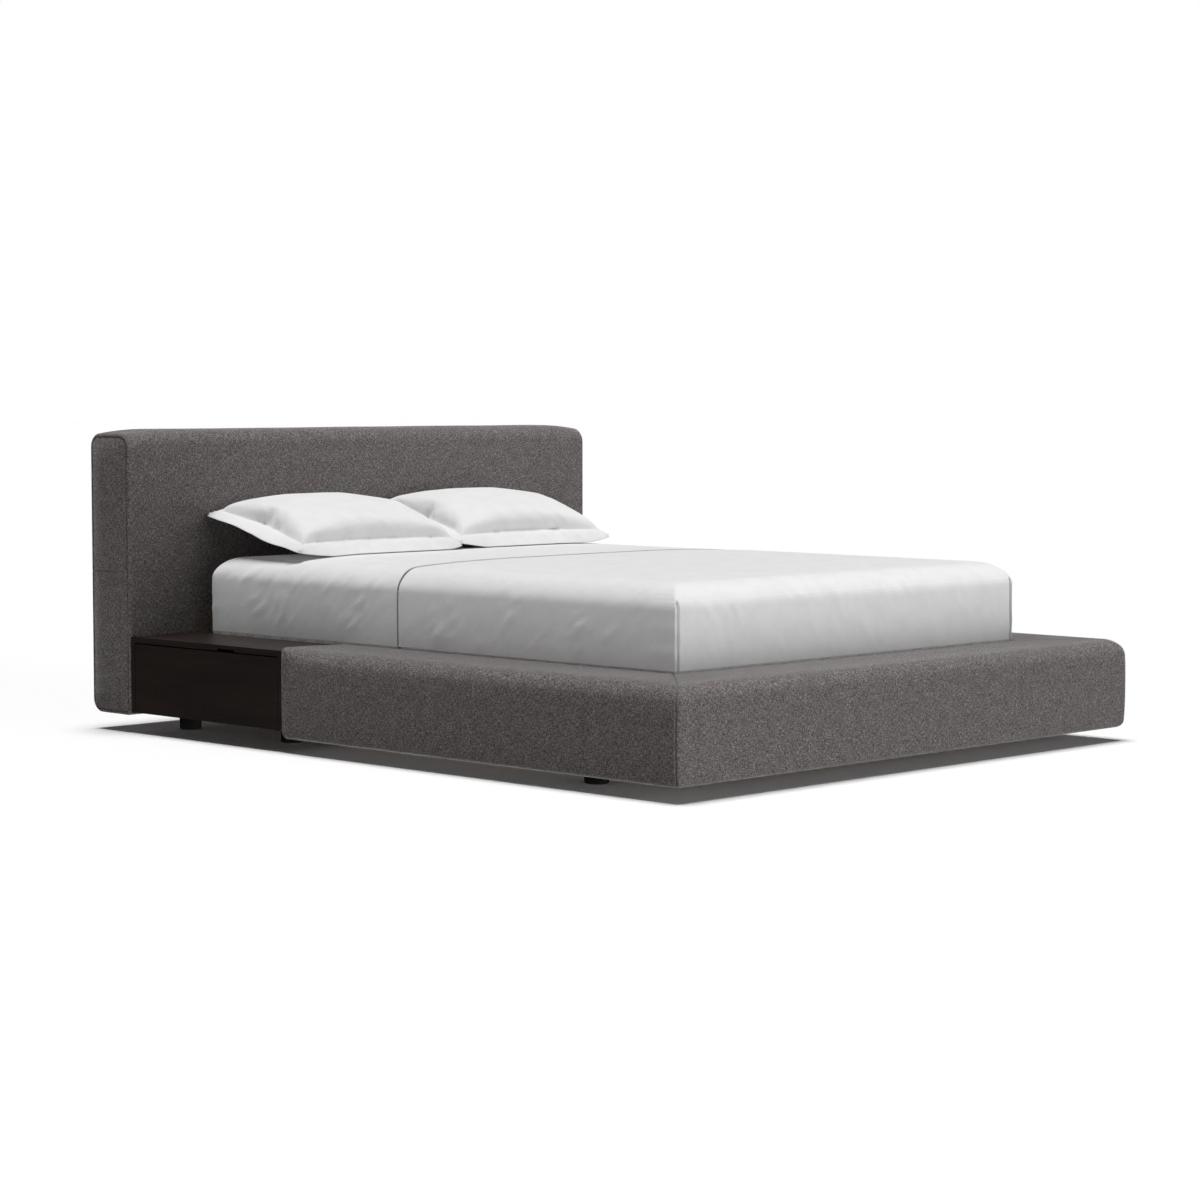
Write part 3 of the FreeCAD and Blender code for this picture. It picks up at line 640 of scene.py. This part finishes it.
for side in ("left", "right"):
    for board in easedBoards:
        easeNode(side + "_" + board, easeLook["board"])
for node in ("rail_feet", "cabinet_feet"):
    easeNode(node, easeLook["foot"])
print("cabinets and feet made")

# mattress and sheets: one swollen box, three times, each a little larger than the one inside it

beddingLook = {"topRound": 68 * mm, "crown": 4 * mm, "edgeDrop": 14 * mm, "bulge": 3 * mm,
               "sheetGap": 2.5 * mm, "sheetThick": 0.8 * mm, "coverGap": 6.0 * mm, "coverThick": 2.4 * mm,
               "headCorner": 14 * mm, "footCorner": 44 * mm, "coverCorner": 5 * mm, "baseRound": 12 * mm,
               "cell": 10 * mm}
# where the bed is cut across ahead of the coverlet's end, in mm, so that it can sink there
sinkCutsMm = (-170, -130, -95, -65, -40, -20)
# how the coverlet ends: its rolled hem, how far it sinks towards it, and the dip in the bed beneath
tuckLook = {"roll": 4 * mm, "rollDepth": 2.5 * mm, "sink": 4 * mm, "sinkReach": 150 * mm,
            "dip": 1.8 * mm, "dipDepth": 20 * mm, "dipReach": 165 * mm, "under": 6 * mm, "rise": 2 * mm}
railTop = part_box("left_rail_cover")[1].z
railGap = -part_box("left_rail_cover")[1].x
footGap = -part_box("foot_rail_cover")[1].y


def buildBeddingForm(grow, footRound, floor):
    low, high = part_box("mattress")
    bm = startBox((low.x - grow, low.y - grow, floor), (high.x + grow, high.y + grow, high.z + grow))
    top = high.z + grow
    radius = beddingLook["topRound"] + grow
    roundEdges(bm, [e for e in bm.edges if liesAt(e, 2, top)], radius, 9)
    for foot, cornerRound in ((True, footRound), (False, beddingLook["headCorner"])):
        corners = []
        for edge in bm.edges:
            ends = [vertex.co for vertex in edge.verts]
            if all(corner.z < top - 1 * mm for corner in ends) or not runsAlong(edge, 2):
                # a corner edge lies as far in from the side as from the foot or the head
                insets = [high.x - abs(c.x) - (c.y - low.y if c.y < 0 else high.y - c.y) for c in ends]
                if max(abs(value) for value in insets) < 0.5 * mm and abs(ends[0].z - ends[1].z) > 1e-6:
                    if (ends[0].y < 0) == foot:
                        corners.append(edge)
        roundEdges(bm, corners, cornerRound, 5)
    return bm, low, high


def gridAbove(bm, high, floor, start, end):
    # cuts a bedding form into even cells between two places along the bed
    cell = beddingLook["cell"]
    sliceAlong(bm, 2, evenPlaces(floor, high.z - beddingLook["topRound"], cell))
    sliceAlong(bm, 2, [railTop + step * mm for step in (1, 0, -1.3, -2.6, -4, -8)])
    sliceAlong(bm, 1, evenPlaces(start, end, cell))


def swell(bm, low, high, grow):
    # crowns the top, bows the sides a little, and draws them in where they go down between the rails
    look = beddingLook
    middle, half = (low + high) / 2, (high - low) / 2
    for vertex in bm.verts:
        x, y, z = vertex.co
        across = min(1.0, abs(x - middle.x) / half.x)
        along = min(1.0, abs(y - middle.y) / half.y)
        tall = (z - low.z) / (high.z - low.z)
        up = smoothStep((tall - 0.55) / 0.45)
        vertex.co.z += (look["crown"] - (look["crown"] + look["edgeDrop"]) * max(across, along) ** 4) * up
        bow = look["bulge"] * math.sin(math.pi * min(1.0, max(0.0, (tall - 0.1) / 0.85)))
        vertex.co.x += math.copysign(bow * across ** 8 * (1 - along ** 12), x)
        vertex.co.y += math.copysign(bow * along ** 8 * (1 - across ** 12), y - middle.y)
        room = 20 * mm * (1 - smoothStep((railTop - z) / (4 * mm))) - 12 * mm + grow * 0.75
        vertex.co.x = max(-railGap - room, min(railGap + room, vertex.co.x))
        vertex.co.y = max(-footGap - room, vertex.co.y)


def tuck(bm, start, reach, depth, back, under=0.0):
    # draws the bed in under the coverlet's end; start is its line, reach how soon it is level again,
    # and under how far the dip reaches back below its own lip
    bm.normal_update()
    for vertex in bm.verts:
        away = vertex.co.y - start
        share = 1 - smoothStep(away / reach if away > 0 else -away / back)
        if share > 0:
            inward = Vector((vertex.normal.x, 0, vertex.normal.z))
            vertex.co -= inward * depth * share
            if away > -1 * mm:
                vertex.co.y += under * share


# the pull folds: how far they wander, the length and width of each size, and their slant in degrees
foldLook = {"drift": 26 * mm, "fineDrift": 7 * mm, "fine": (75 * mm, 19 * mm), "broad": (120 * mm, 36 * mm),
            "sideTurn": 42, "footTurn": -62, "headTurn": 60, "topTurn": 20,
            "hemStart": 8 * mm, "hemFade": 40 * mm, "endFade": 30 * mm}


def ridge(first, second, length, width, seed):
    # a soft fold that runs along the first coordinate
    value = noise.noise(Vector((first / length, second / width, seed)))
    return max(0.0, value) ** 1.3


def drawnFolds(a, b, turn, seed):
    # slanting pull folds of two sizes, bent by a slower drift, that come and go in patches
    turn = math.radians(turn)
    drift = noise.noise_vector(Vector((a * 7, b * 7, seed + 30))) * foldLook["drift"]
    drift += noise.noise_vector(Vector((a * 24, b * 24, seed + 40))) * foldLook["fineDrift"]
    a, b = a + drift.x, b + drift.y
    along = a * math.cos(turn) + b * math.sin(turn)
    across = b * math.cos(turn) - a * math.sin(turn)
    patch = smoothStep(0.55 + 1.3 * noise.noise(Vector((a * 5, b * 5, seed + 20))))
    fine = ridge(along, across, *foldLook["fine"], seed)
    broad = ridge(along, across, *foldLook["broad"], seed + 7)
    return patch * (0.7 * fine + 0.8 * broad)


def wrinkle(bm, sideDepth, footDepth, topDepth, start, end):
    # sideDepth and the others are how far the folds stand out on each face, between two places along the bed
    look = foldLook
    bm.normal_update()
    moves = []
    for vertex in bm.verts:
        x, y, z = vertex.co
        normal = vertex.normal
        side = smoothStep((abs(normal.x) - 0.35) / 0.4)
        foot = smoothStep((-normal.y - 0.35) / 0.4)
        head = smoothStep((normal.y - 0.35) / 0.4)
        top = smoothStep((normal.z - 0.5) / 0.4)
        hem = smoothStep((z - railTop - look["hemStart"]) / look["hemFade"])
        height = side * sideDepth * drawnFolds(-y, z, look["sideTurn"], 3.0 if x < 0 else 11.0)
        height += foot * footDepth * drawnFolds(x, z, look["footTurn"], 5.0)
        height += head * footDepth * drawnFolds(x, z, look["headTurn"], 8.0)
        height += top * topDepth * drawnFolds(x, y, look["topTurn"], 2.0)
        height *= max(hem, top) * smoothStep(min(y - start, end - y) / look["endFade"])
        moves.append((vertex, normal * height))
    for vertex, move in moves:
        vertex.co += move


def buildMattress():
    look = beddingLook
    bm, low, high = buildBeddingForm(0.0, look["footCorner"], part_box("mattress")[0].z)
    roundEdges(bm, [e for e in bm.edges if liesAt(e, 2, low.z)], look["baseRound"], 4)
    cutFiner(bm, 60 * mm)
    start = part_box("coverlet")[1].y
    cuts = sinkCutsMm + (-5, 8, 12, 16, 20, 24, 28)
    sliceAlong(bm, 1, [start + step * mm for step in cuts])
    swell(bm, low, high, 0.0)
    tuck(bm, start + 13 * mm, 15 * mm, tuckLook["dipDepth"] + 2 * mm, tuckLook["dipReach"])
    mapCloth(bm)
    piece = makePiece("mattressBody", bm, finishes["mattress_ticking"], "bed",
                      ["mattress"])


def giveThickness(piece, thickness):
    # the cloth's outer face stays where it is
    wall = piece.modifiers.new("wall", "SOLIDIFY")
    wall.thickness = thickness
    wall.offset = -1


def openBelow(bm, floor):
    base = [f for f in bm.faces if f.normal.z < -0.9 and f.calc_center_median().z < floor + 1 * mm]
    bmesh.ops.delete(bm, geom=base, context="FACES")


sheetFolds = {"places": (815 * mm, 583 * mm), "height": 3.0 * mm, "width": 2.6 * mm,
              "cutsMm": (-5, -3, -1.5, 0, 1.5, 3, 5)}


def buildFittedSheet():
    look = beddingLook
    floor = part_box("fitted_sheet")[0].z + 1 * mm
    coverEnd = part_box("coverlet")[1].y
    bm, low, high = buildBeddingForm(look["sheetGap"], look["footCorner"], floor)
    bm.normal_update()
    openBelow(bm, floor)
    gridAbove(bm, high, floor, coverEnd + 12 * mm, high.y - look["topRound"])
    cuts = sinkCutsMm + (-8, 0, 3, 6.5, 7.1, 7.7, 8.3, 9, 11)
    sliceAlong(bm, 1, [coverEnd + step * mm for step in cuts])
    sliceAlong(bm, 1, [place + step * mm for place in sheetFolds["places"] for step in sheetFolds["cutsMm"]])
    sliceAlong(bm, 1, evenPlaces(low.y, coverEnd - 170 * mm, 60 * mm))
    sliceAlong(bm, 0, evenPlaces(low.x + look["topRound"], high.x - look["topRound"], 40 * mm))
    swell(bm, low, high, look["sheetGap"])
    wrinkle(bm, 9.0 * mm, 2.0 * mm, 0.6 * mm, coverEnd, 2.0)
    for vertex in bm.verts:
        past = vertex.co.y - coverEnd
        if past > 6 * mm:
            level = smoothStep(vertex.normal.z * 2 - 1)
            vertex.co.z += tuckLook["rise"] * (1 - smoothStep(past / (70 * mm))) * level
        shown = smoothStep(past / (40 * mm))
        for place in sheetFolds["places"]:
            rise = sheetFolds["height"] * math.exp(-((vertex.co.y - place) / sheetFolds["width"]) ** 2)
            fade = 1 - smoothStep((vertex.co.z - 485 * mm) / (50 * mm))
            vertex.co.x += math.copysign(rise * fade * shown * smoothStep(abs(vertex.normal.x)), vertex.co.x)
    tuck(bm, coverEnd + 6.5 * mm, tuckLook["dip"], tuckLook["dipDepth"], tuckLook["dipReach"],
         tuckLook["under"])
    mapCloth(bm)
    piece = makePiece("fittedSheet", bm, finishes["white_cotton"], "bed", ["fitted_sheet"])
    giveThickness(piece, look["sheetThick"])


pleatLook = {"marksMm": (5.0, 5.5, 6.2, 7.0, 9.0, 11.5, 14.0, 15.2, 16.5, 17.8, 19.0, 21.0),
             "depth": 14 * mm, "top": 524 * mm, "widthMm": 24, "foldMm": 5.4, "backMm": 13.5}


def foldPleats(bm, edge):
    # the side drop ends in a folded edge at each foot corner, and the foot drop goes in behind it
    look = pleatLook
    for vertex in bm.verts:
        inside = (edge - abs(vertex.co.x)) / mm
        if vertex.normal.y > -0.5 or inside > look["widthMm"]:
            continue
        dip = smoothStep(inside - look["foldMm"]) * (1 - smoothStep((inside - look["backMm"]) / 5.5))
        vertex.co.y += look["depth"] * dip * smoothStep((look["top"] - vertex.co.z) / (14 * mm))


def buildCoverlet():
    look = beddingLook
    cadLow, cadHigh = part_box("coverlet")
    bm, low, high = buildBeddingForm(look["coverGap"], look["coverCorner"], cadLow.z)
    bm.normal_update()
    openBelow(bm, cadLow.z)
    bmesh.ops.bisect_plane(bm, geom=bm.verts[:] + bm.edges[:] + bm.faces[:], dist=1e-6,
                           plane_co=(0, cadHigh.y, 0), plane_no=(0, 1, 0), clear_outer=True)
    edge = high.x + look["coverGap"]
    foot = low.y + look["topRound"] + 10 * mm
    sliceAlong(bm, 1, [foot])
    marks = [edge - step * mm for step in pleatLook["marksMm"]]
    sliceAlong(bm, 0, marks + [-place for place in marks], lambda face: face.calc_center_median().y < foot)
    sliceAlong(bm, 2, [pleatLook["top"] - step * mm for step in (0, 3, 7, 11, 14)],
               lambda face: face.calc_center_median().y < foot)
    gridAbove(bm, high, cadLow.z, low.y + look["topRound"], cadHigh.y - 10 * mm)
    sliceAlong(bm, 1, [cadHigh.y - step * mm for step in (1, 2, 3, 4, 6, 10)])
    sliceAlong(bm, 0, evenPlaces(-edge + 60 * mm, edge - 60 * mm, 11 * mm))
    bm.normal_update()
    foldPleats(bm, edge)
    swell(bm, low, high, look["coverGap"])
    wrinkle(bm, 9.0 * mm, 7.0 * mm, 0.6 * mm, -2.0, cadHigh.y)
    bm.normal_update()
    for vertex in bm.verts:
        before = cadHigh.y - vertex.co.y
        roll = tuckLook["rollDepth"] * (1 - smoothStep(before / tuckLook["roll"]))
        sink = tuckLook["sink"] * (1 - smoothStep(before / tuckLook["sinkReach"]))
        vertex.co -= Vector((vertex.normal.x * roll, 0, vertex.normal.z * (roll + sink)))
    mapCloth(bm)
    piece = makePiece("coverletCloth", bm, finishes["white_cotton"], "bed", ["coverlet"])
    giveThickness(piece, look["coverThick"])


buildMattress()
buildFittedSheet()
buildCoverlet()
print("bedding made")

# pillows: two sewn layers filled by a cloth simulation, with a flat flange round the seam

pillowLook = {"width": 648 * mm, "depth": 436 * mm, "cell": 12 * mm, "layerGap": 6 * mm, "frames": 18,
              "tilt": 13.0, "flangeSteps": (0.05, 0.12, 0.4, 0.7, 1.0), "flangeThick": 2.6 * mm,
              "stitch": 1.5 * mm, "pucker": 7 * mm, "finePucker": 2 * mm, "quickRise": 75 * mm,
              "seamKeep": 3 * mm, "seamFade": 9 * mm,
              "droopX": 22 * mm, "droopY": 14 * mm, "droopMiddle": 24 * mm, "outline": (356 * mm, 245 * mm),
              "topRise": 74 * mm, "fullness": 0.8, "lowRise": 34 * mm, "belly": 50 * mm}
pillowPlaces = {"pillowLeft": {"node": "pillow_left", "middle": (-0.372, 0.835, 0.652), "turn": 0.0,
                               "pressure": 2.0, "seed": 1.0},
                "pillowRight": {"node": "pillow_right", "middle": (0.340, 0.856, 0.654), "turn": -1.0,
                                "pressure": 2.15, "seed": 5.0}}


def bedTop(x, y):
    # about how high the fitted sheet lies under a pillow
    low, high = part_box("mattress")
    middle, half = (low + high) / 2, (high - low) / 2
    edge = max(min(1.0, abs(x - middle.x) / half.x), min(1.0, abs(y - middle.y) / half.y))
    drop = (beddingLook["crown"] + beddingLook["edgeDrop"]) * edge ** 4
    return high.z + beddingLook["sheetGap"] + beddingLook["crown"] - drop


def startPouch():
    # each corner of the cloth keeps which layer it is on and which way the flange will leave it
    look = pillowLook
    half = Vector((look["width"], look["depth"], look["layerGap"])) / 2
    bm = startBox(-half, half)
    sliceAlong(bm, 0, evenPlaces(-half.x, half.x, look["cell"]))
    sliceAlong(bm, 1, evenPlaces(-half.y, half.y, look["cell"]))
    seam = bm.faces.layers.int.new("seam")
    for face in bm.faces:
        face[seam] = int(abs(face.normal.z) < 0.5)
    layers = [bm.verts.layers.float.new(name) for name in ("outX", "outY", "layerSide", "seamHeight")]
    for vertex in bm.verts:
        for axis in (0, 1, 2):
            share = vertex.co[axis] / half[axis]
            vertex[layers[axis]] = round(share) if abs(share) > 0.999 else 0.0
    return bm, half


def fillPouch(bm, pressure):
    # the filling pushes both layers apart from inside, so the seam puckers and its sides pull in
    mesh = bpy.data.meshes.new("pouch")
    bm.to_mesh(mesh)
    pouch = bpy.data.objects.new("pouch", mesh)
    bench = bpy.data.scenes.new("bench")
    bench.collection.objects.link(pouch)
    cloth = pouch.modifiers.new("filling", "CLOTH")
    settings = cloth.settings
    settings.quality = 6
    settings.mass = 0.25
    settings.air_damping = 3
    settings.tension_stiffness = 12
    settings.compression_stiffness = 6
    settings.shear_stiffness = 3
    settings.bending_stiffness = 0.1
    settings.use_pressure = True
    settings.uniform_pressure_force = pressure
    settings.effector_weights.gravity = 0
    cloth.collision_settings.use_collision = False
    cloth.point_cache.frame_end = pillowLook["frames"]
    for step in range(1, pillowLook["frames"] + 1):
        bench.frame_set(step)
    filled = pouch.evaluated_get(bench.view_layers[0].depsgraph).data
    for vertex, place in zip(bm.verts, filled.vertices):
        vertex.co = place.co
    bpy.data.objects.remove(pouch)
    bpy.data.scenes.remove(bench)


def pressPouch(bm, half):
    # sets how high the filling stands above the seam and how far the belly hangs below it
    look = pillowLook
    top, bottom = max(v.co.z for v in bm.verts), -min(v.co.z for v in bm.verts)
    for vertex in bm.verts:
        x, y, z = vertex.co
        middle = (1 - min(1.0, abs(x) / half.x) ** 2) * (1 - min(1.0, abs(y) / half.y) ** 2)
        share = min(1.0, max(0.0, abs(z) - look["seamKeep"]) / look["seamFade"])
        if z > 0:
            full = look["topRise"] * (z / top) ** look["fullness"]
        else:
            full = z / bottom * (look["lowRise"] + look["belly"] * middle)
        vertex.co.z = z + (full - z) * share


def addFlange(bm, seed):
    # pulls the seam out into a flat double hem that hangs a little and keeps a little of the puckers
    look = pillowLook
    seam = bm.faces.layers.int["seam"]
    outX, outY, layerSide, seamHeight = (bm.verts.layers.float[name]
                                         for name in ("outX", "outY", "layerSide", "seamHeight"))
    for vertex in bm.verts:
        vertex[seamHeight] = vertex.co.z - vertex[layerSide] * look["layerGap"] / 2
    rim = [face for face in bm.faces if face[seam]]
    last = 0.0
    for share in look["flangeSteps"]:
        made = bmesh.ops.extrude_face_region(bm, geom=rim)["geom"]
        bmesh.ops.delete(bm, geom=rim, context="FACES_ONLY")
        rim = [item for item in made if isinstance(item, bmesh.types.BMFace)]
        pull = (share - last) / max(1e-6, 1 - last)
        for vertex in {v for face in rim for v in face.verts}:
            x, y, z = vertex.co
            if vertex[outX]:
                vertex.co.x += (math.copysign(look["outline"][0], x) - x) * pull
            if vertex[outY]:
                vertex.co.y += (math.copysign(look["outline"][1], y) - y) * pull
            wave = noise.noise(Vector((x * 6, y * 6, seed))) * look["pucker"]
            wave += noise.noise(Vector((x * 16, y * 16, seed))) * look["finePucker"]
            across = min(1.0, abs(x) / look["outline"][0])
            front = look["droopY"] + look["droopMiddle"] * (1 - across ** 6)
            droop = max(look["droopX"] * abs(vertex[outX]), front * abs(vertex[outY])) * share ** 1.3
            stitch = look["stitch"] if last == 0.0 else 0.0
            thick = vertex[layerSide] * (look["flangeThick"] - stitch) / 2
            vertex.co.z = vertex[seamHeight] * 0.5 ** (1 + 4 * share) + wave * share - droop + thick
        last = share


def placePillow(bm, spot):
    look = pillowLook
    tilt = Matrix.Rotation(math.radians(look["tilt"]), 3, "X")
    turn = Matrix.Rotation(math.radians(spot["turn"]), 3, "Z") @ tilt
    layerSide = bm.verts.layers.float["layerSide"]
    for vertex in bm.verts:
        place = turn @ vertex.co + Vector(spot["middle"])
        rest = bedTop(place.x, place.y) + 0.8 * mm + (look["flangeThick"] if vertex[layerSide] > 0 else 0.0)
        vertex.co = Vector((place.x, place.y, max(place.z, rest)))


def buildPillow(name, spot):
    bm, half = startPouch()
    fillPouch(bm, spot["pressure"])
    pressPouch(bm, half)
    addFlange(bm, spot["seed"])
    mapCloth(bm)
    placePillow(bm, spot)
    bmesh.ops.recalc_face_normals(bm, faces=bm.faces)
    piece = makePiece(name, bm, finishes["white_cotton"], "bed", [spot["node"]])
    finer = piece.modifiers.new("finer", "SUBSURF")
    finer.levels = finer.render_levels = 1


for name, spot in pillowPlaces.items():
    buildPillow(name, spot)
print("pillows made")

# camera, floor and light

viewSettings = {"place": (-6.672, -6.538, 1.077), "turn": 45.58, "tilt": 3.99, "lensMm": 88.99}
lightSettings = {"fill": 0.04, "floor": "#ffffff",
                 "overhead": {"strength": 2.95, "spread": 23, "source": (-0.01, 0.05, 1.0)},
                 "front": {"strength": 2.25, "spread": 62, "source": (0.36, -1.0, -0.17)},
                 "side": {"strength": 0.95, "spread": 70, "source": (-1.0, 0.0, -0.2)}}


def makeCamera():
    camera = bpy.data.objects.new("camera", bpy.data.cameras.new("camera"))
    camera.data.lens = viewSettings["lensMm"]
    camera.data.clip_end = 200
    camera.location = viewSettings["place"]
    camera.rotation_euler = (math.radians(90 - viewSettings["tilt"]), 0, math.radians(-viewSettings["turn"]))
    scene.collection.objects.link(camera)
    scene.camera = camera


def makeLight(name, look):
    lamp = bpy.data.lights.new(name, "SUN")
    lamp.energy = look["strength"]
    lamp.angle = math.radians(look["spread"])
    light = bpy.data.objects.new(name, lamp)
    light.rotation_euler = Vector(look["source"]).to_track_quat("Z", "Y").to_euler()
    scene.collection.objects.link(light)


def makeStage():
    # a pale floor under a white studio; the walls light the bed less than they show
    material, _, shader = startMaterial("paleStudioFloor", Roughness=0.95, Specular_IOR_Level=0.05)
    shader.inputs["Base Color"].default_value = hexToLinear(lightSettings["floor"])
    bm = bmesh.new()
    bmesh.ops.create_grid(bm, x_segments=1, y_segments=1, size=80)
    mesh = bpy.data.meshes.new("floor")
    bm.to_mesh(mesh)
    bm.free()
    mesh.materials.append(material)
    floor = bpy.data.objects.new("floor", mesh)
    floor.visible_diffuse = False
    floor.visible_glossy = False
    floor.visible_shadow = False
    scene.collection.objects.link(floor)
    world = bpy.data.worlds.new("studio")
    world.use_nodes = True
    tree = world.node_tree
    fill = tree.nodes["Background"]
    fill.inputs["Color"].default_value = hexToLinear("#ffffff")
    fill.inputs["Strength"].default_value = lightSettings["fill"]
    backdrop = addNode(tree, "ShaderNodeBackground", {"Color": "#ffffff", "Strength": 1.0})
    seen = addNode(tree, "ShaderNodeLightPath").outputs["Is Camera Ray"]
    mixed = addNode(tree, "ShaderNodeMixShader", {0: seen, 1: fill.outputs[0], 2: backdrop.outputs[0]})
    tree.links.new(mixed.outputs[0], tree.nodes["World Output"].inputs["Surface"])
    scene.world = world


makeCamera()
makeStage()
makeLight("overheadSoftbox", lightSettings["overhead"])
makeLight("frontSoftbox", lightSettings["front"])
makeLight("sideSoftbox", lightSettings["side"])
print("stage made")
